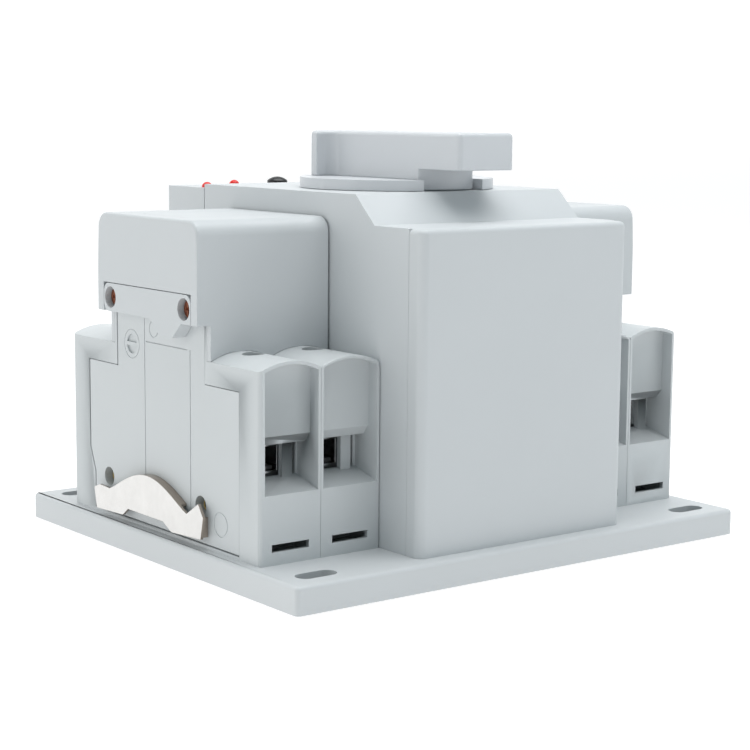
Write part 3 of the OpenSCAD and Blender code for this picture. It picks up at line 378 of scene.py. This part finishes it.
def lamp_lens(name, colour):
    """Coloured diffused epoxy, glossy, with a painted sheen that makes it a little lighter at its rim, where
    it is seen edge-on.
    """
    if name in bpy.data.materials:
        return bpy.data.materials[name]
    material, tree, shader = blank_material(name)
    place = add_node(tree, "ShaderNodeTexCoord").outputs["Object"]
    haze = add_node(tree, "ShaderNodeTexNoise", [("Vector", place), ("Scale", 900.0), ("Detail", 3.0)])
    # Painted sheen: the colour turns paler where the lens is seen edge-on, with a little random haze added.
    rim = add_node(tree, "ShaderNodeLayerWeight", [("Blend", 0.35)]).outputs["Facing"]
    depth = maths(tree, "MULTIPLY", rim, 0.6)
    sheen_and_haze = maths(tree, "ADD", depth, maths(tree, "MULTIPLY", haze.outputs["Fac"], 0.15), clamp=True)
    pale = [min(1.0, c * 1.3 + 0.02) for c in tuple(colour)[:3]]
    mixed = add_node(tree, "ShaderNodeMix", [("Factor", sheen_and_haze), ("A", opaque(colour)), ("B", opaque(pale))],
                     data_type="RGBA")
    tree.links.new(mixed.outputs["Result"], shader.inputs["Base Color"])
    shader.inputs["Roughness"].default_value = 0.28
    shader.inputs["Specular IOR Level"].default_value = 0.3
    shader.inputs["Coat Weight"].default_value = 0.15
    shader.inputs["Coat Roughness"].default_value = 0.1
    return material


def finish_for(slot):
    """The material of a slot of the record."""
    tones = bpy.context.scene.switch_colours
    makers = {
        "base_plastic": lambda: moulding("base plate moulding", tones.plate, rough=0.50, fineness=5200.0),
        "case_plastic": lambda: moulding("casing thermoset", tones.case, rough=0.40),
        "cover_plastic": lambda: moulding("side cover thermoset", tones.case, rough=0.42, mottle=0.4),
        "hood_plastic": lambda: moulding("hood moulding", tones.hood, rough=0.44),
        "housing_plastic": lambda: moulding("housing moulding", tones.housing, rough=0.46, fineness=5600.0),
        "knob_plastic": lambda: moulding("knob moulding", tones.knob, rough=0.34, strength=0.2, dust=0.03),
        "toggle_plastic": lambda: moulding("toggle nylon", (0.02, 0.02, 0.022), rough=0.4, darker=0.7),
        "black_plastic": lambda: moulding("black moulding", (0.006, 0.006, 0.007), rough=0.32, darker=0.6,
                                          dust=0.02, specular=0.5),
        "bush_plastic": lambda: moulding("natural acetal", (0.72, 0.69, 0.60), rough=0.38),
        "board": lambda: moulding("solder mask", (0.012, 0.075, 0.028), rough=0.25, fineness=2500.0,
                                  darker=0.6),
        "board_parts": lambda: moulding("component epoxy", (0.02, 0.018, 0.016), rough=0.5, darker=0.6),
        "zinc": lambda: metal("bright zinc", (0.80, 0.81, 0.82), (0.58, 0.59, 0.60), rough=0.22),
        "bracket_steel": lambda: sheared_sheet("pressed plated steel", (0.76, 0.75, 0.735),
                                               (0.42, 0.36, 0.31)),
        "tinned": lambda: metal("tinned copper", (0.42, 0.42, 0.43), (0.25, 0.25, 0.26), rough=0.34),
        "dark_steel": lambda: metal("plain steel", (0.20, 0.20, 0.21), (0.10, 0.10, 0.105), rough=0.42),
        "yoke_zinc": lambda: metal("die-cast metal", (0.45, 0.46, 0.48), (0.30, 0.31, 0.33), rough=0.48,
                                   lines=(2500.0, 2500.0, 2500.0)),
        "rivet_brass": lambda: metal("yellow passivate", (0.60, 0.46, 0.19), (0.32, 0.22, 0.08), rough=0.30),
        "screw_yellow": lambda: metal("terminal screw plating", (0.60, 0.48, 0.22), (0.35, 0.26, 0.11),
                                      rough=0.30),
        "screw_red": lambda: metal("copper-plated screw", (0.40, 0.15, 0.085), (0.16, 0.05, 0.03),
                                   rough=0.36),
        "pinion_brass": lambda: metal("turned brass", (0.68, 0.50, 0.20), (0.42, 0.29, 0.11), rough=0.24),
        "copper": lambda: metal("bare copper", (0.66, 0.32, 0.18), (0.34, 0.15, 0.08), rough=0.30),
        "bimetal": lambda: metal("bimetal strip", (0.44, 0.39, 0.30), (0.28, 0.25, 0.20), rough=0.35),
        "lamp_red": lambda: lamp_lens("lamp lens", tones.lamp),
    }
    return makers[slot]()


SLOT_OF = {part["node"]: part["material_slot"] for part in frame["record"]["subparts"]}


# ---- mesh tools; every size is in millimetres until a piece is finished ----


def cuboid(low, high):
    low, high = Vector(low), Vector(high)
    bm = bmesh.new()
    size = Matrix.Diagonal((*(high - low), 1))
    bmesh.ops.create_cube(bm, size=1, matrix=Matrix.Translation((low + high) / 2) @ size)
    return bm


def rod(centre, radius, low, high):
    """A round bar along X; centre holds its y and z."""
    bm = bmesh.new()
    middle = Matrix.Translation((*centre, (low + high) / 2))
    bmesh.ops.create_cone(bm, cap_ends=True, cap_tris=False, segments=48, radius1=radius, radius2=radius,
                          depth=high - low, matrix=middle)
    bmesh.ops.transform(bm, matrix=ALONG_X, verts=bm.verts)
    bmesh.ops.recalc_face_normals(bm, faces=bm.faces)
    return bm


def work_object(bm):
    mesh = bpy.data.meshes.new("work")
    bm.to_mesh(mesh)
    bm.free()
    item = bpy.data.objects.new("work", mesh)
    bpy.context.scene.collection.objects.link(item)
    return item


def cut(base, *tools):
    """The base with each tool cut from it."""
    item = work_object(base)
    cutters = [work_object(tool) for tool in tools]
    for cutter in cutters:
        step = item.modifiers.new("cut", "BOOLEAN")
        step.operation = "DIFFERENCE"
        step.solver = "EXACT"
        step.object = cutter
    bpy.context.view_layer.update()
    result = bmesh.new()
    result.from_object(item, bpy.context.evaluated_depsgraph_get())
    for extra in [item, *cutters]:
        mesh = extra.data
        bpy.data.objects.remove(extra)
        bpy.data.meshes.remove(mesh)
    tidy(result)
    return result


def tidy(bm, angle=0.4):
    """Merges doubles and makes flat areas single faces."""
    bmesh.ops.remove_doubles(bm, verts=bm.verts, dist=0.002)
    bmesh.ops.dissolve_limit(bm, angle_limit=math.radians(angle), verts=bm.verts, edges=bm.edges,
                             use_dissolve_boundaries=False)
    bmesh.ops.dissolve_degenerate(bm, dist=0.001, edges=bm.edges)


def of_node(node):
    """A merged copy of a node's mesh, in millimetres."""
    bm = bmesh.new()
    bm.from_mesh(frame["nodes"][node].data)
    bmesh.ops.scale(bm, vec=(1 / MM,) * 3, verts=bm.verts)
    tidy(bm)
    return bm


def soften(bm, width, segments=3, angle=32.0, where=None):
    """Rounds the sharp edges, or those that a test picks."""
    edges = []
    for edge in bm.edges:
        if len(edge.link_faces) != 2 or edge.calc_face_angle(0.0) < math.radians(angle):
            continue
        if where is None or where(*(v.co for v in edge.verts)):
            edges.append(edge)
    if edges:
        bmesh.ops.bevel(bm, geom=edges, offset=width, offset_type="OFFSET", segments=segments, profile=0.5,
                        affect="EDGES", material=-1, clamp_overlap=True, loop_slide=True)
    return bm


def place_left(bm):
    """From a breaker's own frame to the left breaker."""
    bmesh.ops.translate(bm, verts=bm.verts, vec=(CASE[0].x, BREAKER_Y, FOOT_Z))
    return bm


def place_right(bm):
    """From a breaker's own frame to the right breaker, which is turned half a turn."""
    bmesh.ops.rotate(bm, cent=(0, 0, 0), matrix=Matrix.Rotation(math.pi, 3, "Z"), verts=bm.verts)
    bmesh.ops.translate(bm, verts=bm.verts, vec=(-CASE[0].x, BREAKER_Y, FOOT_Z))
    return bm


PLACE = {"left": place_left, "right": place_right}


def piece(name, bm, body, slot, *nodes, smooth=40.0):
    """Finishes a piece: metres, shading, material, and what it stands for."""
    bmesh.ops.scale(bm, vec=(MM,) * 3, verts=bm.verts)
    mesh = bpy.data.meshes.new(name)
    bm.to_mesh(mesh)
    bm.free()
    mesh.materials.clear()
    mesh.materials.append(finish_for(slot))
    for polygon in mesh.polygons:
        polygon.use_smooth = True
        polygon.material_index = 0
    mesh.set_sharp_from_angle(angle=math.radians(smooth))
    item = bpy.data.objects.new(name, mesh)
    bpy.context.scene.collection.objects.link(item)
    weighted = item.modifiers.new("even shading", "WEIGHTED_NORMAL")
    weighted.keep_sharp = True
    weighted.weight = 60
    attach(item, body)
    if nodes:
        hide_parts(*nodes)
    return item


def body_of_node(node):
    for body, nodes in frame["record"]["behaviour"]["bodies"].items():
        if node in nodes:
            return body
    raise KeyError(node)


def softened_node(node, width, segments=3, **options):
    """A node of the frame with its edges rounded and its own finish."""
    bm = soften(of_node(node), width, segments)
    return piece(node + "_piece", bm, body_of_node(node), SLOT_OF[node], node, **options)


def edge_mm():
    return bpy.context.scene.switch_sizes.edge / MM


def metal_edge_mm():
    return bpy.context.scene.switch_sizes.metal_edge / MM


# ---- operators, one for each piece or group of like pieces ----


class SWITCH_OT_base_plate(bpy.types.Operator):
    """Moulded base plate with its four long slots"""

    bl_idname = "switch.base_plate"
    bl_label = "Base plate"

    def execute(self, context):
        low, high = BASE
        bm = of_node("base_plate")
        rim = 0.05

        def top_rim(a, b):
            outer = all(abs(v.x) > high.x - 4 or abs(v.y) > high.y - 4 for v in (a, b))
            hole = all(abs(v.x) < high.x - 3.5 and abs(v.y) < high.y - 3.5 for v in (a, b))
            return outer and not hole and min(a.z, b.z) > high.z - rim

        soften(bm, context.scene.switch_sizes.plate_edge / MM, 4, where=top_rim)
        soften(bm, 0.22, 2, angle=50)
        piece("base_plate_moulding", bm, "frame", "base_plastic", "base_plate")
        return {"FINISHED"}


class SWITCH_OT_pole_casings(bpy.types.Operator):
    """Casings of the four poles, with barrel tops and terminal recesses"""

    bl_idname = "switch.pole_casings"
    bl_label = "Pole casings"

    def execute(self, context):
        sizes = context.scene.switch_sizes
        for place in ("outer", "inner"):
            for side in SIDES:
                node = f"{place}_case_{side}"
                bm = of_node(node)
                half = (CASE[1].y - CASE[0].y) / 2
                shoulder_z = HOOD[0].z - 0.2

                box = millimetres(node)
                outer_x = max(abs(box[0].x), abs(box[1].x))

                def at_end(v):
                    return abs(v.y - BREAKER_Y) > half - 0.02

                def outer_corner(a, b):
                    upright = at_end(a) and at_end(b) and abs(a.z - b.z) > 1
                    return upright and place == "outer" and min(abs(a.x), abs(b.x)) > outer_x - 0.02

                def top_side(a, b):
                    along = abs(a.y - b.y) > 5 and min(a.z, b.z) > shoulder_z - 0.2
                    return along and max(a.z, b.z) < shoulder_z + 0.5

                def terminal_end(a, b):
                    return at_end(a) and at_end(b) and min(a.z, b.z) > shoulder_z - 1.5

                soften(bm, sizes.corner_round / MM, 5, angle=60, where=outer_corner)
                soften(bm, sizes.top_round / MM, 4, angle=40, where=top_side)
                soften(bm, sizes.end_round / MM, 4, angle=40, where=terminal_end)
                soften(bm, 0.25, 3, angle=40)
                piece(f"{place}_casing_{side}", bm, "frame", "case_plastic", node)
        return {"FINISHED"}


class SWITCH_OT_side_covers(bpy.types.Operator):
    """Side covers with moulded seams, a slotted boss and stamped rings"""

    bl_idname = "switch.side_covers"
    bl_label = "Side covers"

    def execute(self, context):
        seam = context.scene.switch_sizes.seam / MM
        for side in SIDES:
            node = f"outer_cover_{side}"
            bm = of_node(node)
            grooves = []
            for y, foot, head in UPRIGHT_SEAMS:
                grooves.append(cuboid((-1, y - seam / 2, foot), (GROOVE_DEPTH, y + seam / 2, head)))
            grooves.append(cuboid((-1, SEAM_ENDS[0], SEAM_HEIGHT - seam / 2),
                                  (GROOVE_DEPTH, SEAM_ENDS[1], SEAM_HEIGHT + seam / 2)))
            bm = cut(bm, *[PLACE[side](tool) for tool in grooves])
            rings = []
            for y, z, outer, width in RINGS:
                ring = cut(rod((y, z), outer, -1, RING_DEPTH), rod((y, z), outer - width, -2, 1))
                rings.append(PLACE[side](ring))
            y, z = BOSS_PLACE
            reach, half_bar = BOSS_RADIUS + 0.5, BOSS_BAR / 2
            bar = cuboid((-2, y - reach, z - half_bar), (1, y + reach, z + half_bar))
            well = cut(rod(BOSS_PLACE, BOSS_RADIUS, -1, BOSS_DEPTH), bar)
            bm = cut(bm, *rings, PLACE[side](well))
            soften(bm, 0.14, 2, angle=50)
            piece(f"outer_side_cover_{side}", bm, "frame", "cover_plastic", node)
            softened_node(f"inner_cover_{side}", 0.15, 2)
        return {"FINISHED"}


class SWITCH_OT_rivets(bpy.types.Operator):
    """Hollow rivets through the breakers, seen in the side covers"""

    bl_idname = "switch.rivets"
    bl_label = "Rivets"

    def execute(self, context):
        bm = of_node("breaker_rivets")
        soften(bm, 0.1, 2)
        piece("rivet_heads", bm, "frame", "rivet_brass", "breaker_rivets")
        return {"FINISHED"}


class SWITCH_OT_side_brackets(bpy.types.Operator):
    """Pressed steel brackets with a folded lip along each breaker's foot"""

    bl_idname = "switch.side_brackets"
    bl_label = "Side brackets"

    def execute(self, context):
        for side in SIDES:
            softened_node(f"side_bracket_{side}", metal_edge_mm(), 2)
        return {"FINISHED"}


class SWITCH_OT_terminals(bpy.types.Operator):
    """Cage clamps and their screws"""

    bl_idname = "switch.terminals"
    bl_label = "Terminals"

    def execute(self, context):
        for node in ("terminal_cages", "terminal_screws", "line_contacts", "load_straps"):
            softened_node(node, metal_edge_mm(), 2)
        return {"FINISHED"}


class SWITCH_OT_hoods(bpy.types.Operator):
    """Hoods over the toggles, with their moulded label field"""

    bl_idname = "switch.hoods"
    bl_label = "Hoods"

    def execute(self, context):
        sizes = context.scene.switch_sizes
        for side in SIDES:
            bm = of_node(f"hood_{side}")
            outward = -1 if side == "left" else 1
            outer_x = abs(HOOD[0].x)

            def outer_rim(a, b):
                return min(outward * a.x, outward * b.x) > outer_x - 0.05 and min(a.z, b.z) > HOOD[0].z + 9

            soften(bm, 0.75, 4, where=outer_rim)
            soften(bm, edge_mm(), 3, angle=40)
            groove = sizes.label_groove / MM
            x0, x1 = sorted(outward * reach for reach in LABEL_REACH)
            y0, y1 = BREAKER_Y - LABEL_HALF_WIDTH, BREAKER_Y + LABEL_HALF_WIDTH
            top = HOOD[1].z
            field = cut(cuboid((x0, y0, top - LABEL_DEPTH), (x1, y1, top + 1)),
                        cuboid((x0 + groove, y0 + groove, top - 1), (x1 - groove, y1 - groove, top + 2)))
            bm = cut(bm, field)
            piece(f"toggle_hood_{side}", bm, "frame", "hood_plastic", f"hood_{side}")
        return {"FINISHED"}


class SWITCH_OT_retainer_strips(bpy.types.Operator):
    """Retainer strips under the hoods, and their screws"""

    bl_idname = "switch.retainer_strips"
    bl_label = "Retainer strips"

    def execute(self, context):
        for side in SIDES:
            softened_node(f"retainer_strip_{side}", 0.2, 2)
        softened_node("hood_screws", metal_edge_mm(), 2)
        return {"FINISHED"}


class SWITCH_OT_drive_housing(bpy.types.Operator):
    """Drive housing"""

    bl_idname = "switch.drive_housing"
    bl_label = "Drive housing"

    def execute(self, context):
        bm = of_node("drive_housing")
        front = HOUSING[0].y

        def parting(a, b):
            return max(a.y, b.y) < front + 0.02

        def elsewhere(a, b):
            return min(a.y, b.y) > front + 0.02 or abs(a.y - b.y) > 1.0

        soften(bm, 0.12, 2, angle=20, where=parting)
        soften(bm, 0.4, 3, angle=20, where=elsewhere)
        piece("housing_shell", bm, "frame", "housing_plastic", "drive_housing")
        return {"FINISHED"}


class SWITCH_OT_end_covers(bpy.types.Operator):
    """Front and rear covers of the drive housing"""

    bl_idname = "switch.end_covers"
    bl_label = "End covers"

    def execute(self, context):
        low, high = FRONT
        bm = of_node("front_cover")

        def top_rim(a, b):
            outer = all(v.y < low.y + 3.7 or abs(v.x) > high.x - 0.05 for v in (a, b))
            return outer and min(a.z, b.z) > high.z - 0.05 and min(a.y, b.y) < low.y + 3.7

        soften(bm, context.scene.switch_sizes.cover_edge / MM, 4, where=top_rim)
        soften(bm, 0.12, 2, angle=40)
        piece("front_cover_shell", bm, "frame", "housing_plastic", "front_cover")
        bm = of_node("rear_cover")
        soften(bm, 0.4, 3, angle=20)
        piece("rear_cover_shell", bm, "frame", "housing_plastic", "rear_cover")
        return {"FINISHED"}


class SWITCH_OT_knob(bpy.types.Operator):
    """Handle and skirt of the three-position knob"""

    bl_idname = "switch.knob"
    bl_label = "Knob"

    def execute(self, context):
        low, high = KNOB
        bm = of_node("knob")

        def top_rim(a, b):
            return min(a.z, b.z) > high.z - 0.05

        soften(bm, context.scene.switch_sizes.knob_edge / MM, 5, where=top_rim)
        soften(bm, 0.35, 3, angle=40)
        piece("knob_handle", bm, "knob_drive", "knob_plastic", "knob")
        bm = of_node("knob_skirt")
        skirt_top = SKIRT[1].z

        def skirt_rim(a, b):
            reach = min(math.hypot(v.x, v.y - KNOB_Y) for v in (a, b))
            return min(a.z, b.z) > skirt_top - 0.05 and reach > SKIRT[1].x - 0.2

        soften(bm, context.scene.switch_sizes.skirt_edge / MM, 5, angle=30, where=skirt_rim)
        soften(bm, 0.25, 3, angle=40)
        piece("knob_skirt_ring", bm, "knob_drive", "knob_plastic", "knob_skirt")
        return {"FINISHED"}


class SWITCH_OT_signals(bpy.types.Operator):
    """Signal lamps and the push button"""

    bl_idname = "switch.signals"
    bl_label = "Signals"

    def execute(self, context):
        softened_node("signal_lamps", 0.1, 2, smooth=60.0)
        softened_node("push_button", 0.15, 3, smooth=60.0)
        return {"FINISHED"}


class SWITCH_OT_inner_parts(bpy.types.Operator):
    """Finishes of the parts inside, which keep the frame's own shape"""

    bl_idname = "switch.inner_parts"
    bl_label = "Inner parts"

    def execute(self, context):
        for name, item in frame["nodes"].items():
            if item.hide_render:
                continue
            material = finish_for(SLOT_OF[name])
            if not item.material_slots:
                item.data.materials.append(material)
            for holder in item.material_slots:
                holder.material = material
        return {"FINISHED"}


class SWITCH_OT_stage(bpy.types.Operator):
    """Floor, a near-black card of painted shade under the base, soft lights and camera"""

    bl_idname = "switch.stage"
    bl_label = "Stage"

    def execute(self, context):
        scene = context.scene

        def card(name, size, place, colour, glow, turn=0.0):
            bm = bmesh.new()
            bmesh.ops.create_grid(bm, x_segments=1, y_segments=1, size=0.5)
            bmesh.ops.scale(bm, vec=(size[0], size[1], 1), verts=bm.verts)
            bmesh.ops.rotate(bm, cent=(0, 0, 0), matrix=Matrix.Rotation(turn, 3, "X"), verts=bm.verts)
            bmesh.ops.translate(bm, vec=place, verts=bm.verts)
            mesh = bpy.data.meshes.new(name)
            bm.to_mesh(mesh)
            bm.free()
            item = bpy.data.objects.new(name, mesh)
            scene.collection.objects.link(item)
            material, tree, shader = blank_material(name)
            shader.inputs["Base Color"].default_value = (colour, colour, colour, 1)
            shader.inputs["Roughness"].default_value = 0.9
            shader.inputs["Specular IOR Level"].default_value = 0.1
            shader.inputs["Emission Color"].default_value = (1, 1, 1, 1)
            shader.inputs["Emission Strength"].default_value = glow
            mesh.materials.append(material)

        width, depth = (BASE[1].x - BASE[0].x) * MM, (BASE[1].y - BASE[0].y) * MM
        card("floor", (30.0, 30.0), (0, 0, -0.0006), 0.35, 0.80)
        # A near-black unlit card just inside the base plate's outline: painted shade under the switch, seen
        # through its slots.
        card("rest pad", (width - SHADE_PAD_INSET, depth - SHADE_PAD_INSET), (0, 0, -0.0003), 0.02, 0.0)
        card("backdrop", (25.0, 5.0), (0, 5.0, 2.44), 0.3, 0.95, math.pi / 2)

        world = bpy.data.worlds.new("studio")
        world.use_nodes = True
        world.node_tree.nodes["Background"].inputs["Color"].default_value = (0.80, 0.94, 1.0, 1)
        world.node_tree.nodes["Background"].inputs["Strength"].default_value = 0.34
        scene.world = world
        scene.view_settings.view_transform = "Standard"

        def soft_light(name, place, target, size, power, colour):
            data = bpy.data.lights.new(name, "AREA")
            data.energy = power
            data.shape = "RECTANGLE"
            data.size, data.size_y = size
            data.color = colour
            item = bpy.data.objects.new(name, data)
            item.location = place
            item.rotation_euler = (Vector(target) - Vector(place)).to_track_quat("-Z", "Y").to_euler()
            scene.collection.objects.link(item)

        soft_light("top light", (0.10, -0.06, 0.9), (0, 0, 0.05), (0.9, 0.9), 9.2, (1.0, 1.0, 1.0))
        soft_light("left light", (-0.9, 0.1, 0.35), (0, 0, 0.06), (0.6, 0.6), 1.6, (1.0, 0.98, 0.94))
        soft_light("right light", (0.75, -0.75, 0.2), (0, -0.05, 0.05), (0.5, 0.5), 1.2, (0.93, 0.98, 1.0))

        camera = bpy.data.cameras.new("view")
        camera.lens = CAMERA_LENS
        camera.sensor_width = 36.0
        camera.shift_x, camera.shift_y = CAMERA_SHIFT
        camera.clip_start = 0.01
        item = bpy.data.objects.new("view", camera)
        turn = Matrix((CAMERA_RIGHT, CAMERA_UP, -Vector(CAMERA_AIM))).transposed().to_4x4()
        item.matrix_world = Matrix.Translation(CAMERA_PLACE) @ turn
        scene.collection.objects.link(item)
        scene.camera = item
        return {"FINISHED"}


STEPS = (
    SWITCH_OT_stage,
    SWITCH_OT_base_plate,
    SWITCH_OT_pole_casings,
    SWITCH_OT_side_covers,
    SWITCH_OT_rivets,
    SWITCH_OT_side_brackets,
    SWITCH_OT_terminals,
    SWITCH_OT_hoods,
    SWITCH_OT_retainer_strips,
    SWITCH_OT_drive_housing,
    SWITCH_OT_end_covers,
    SWITCH_OT_knob,
    SWITCH_OT_signals,
    SWITCH_OT_inner_parts,
)


class SWITCH_PT_panel(bpy.types.Panel):
    """Lists the pieces and their sizes"""

    bl_idname = "SWITCH_PT_panel"
    bl_label = "Transfer switch"
    bl_space_type = "VIEW_3D"
    bl_region_type = "UI"
    bl_category = "Transfer switch"

    def draw(self, context):
        layout = self.layout
        for group in (context.scene.switch_sizes, context.scene.switch_colours):
            box = layout.box()
            for name in group.__annotations__:
                box.prop(group, name)
        for step in STEPS:
            layout.operator(step.bl_idname)


CLASSES = (SwitchSizes, SwitchColours, *STEPS, SWITCH_PT_panel)


def register():
    for item in CLASSES:
        bpy.utils.register_class(item)
    bpy.types.Scene.switch_sizes = bpy.props.PointerProperty(type=SwitchSizes)
    bpy.types.Scene.switch_colours = bpy.props.PointerProperty(type=SwitchColours)


def unregister():
    del bpy.types.Scene.switch_colours
    del bpy.types.Scene.switch_sizes
    for item in reversed(CLASSES):
        bpy.utils.unregister_class(item)


def main():
    register()
    for step in STEPS:
        group, name = step.bl_idname.split(".")
        getattr(getattr(bpy.ops, group), name)()


if __name__ == "__main__":
    main()
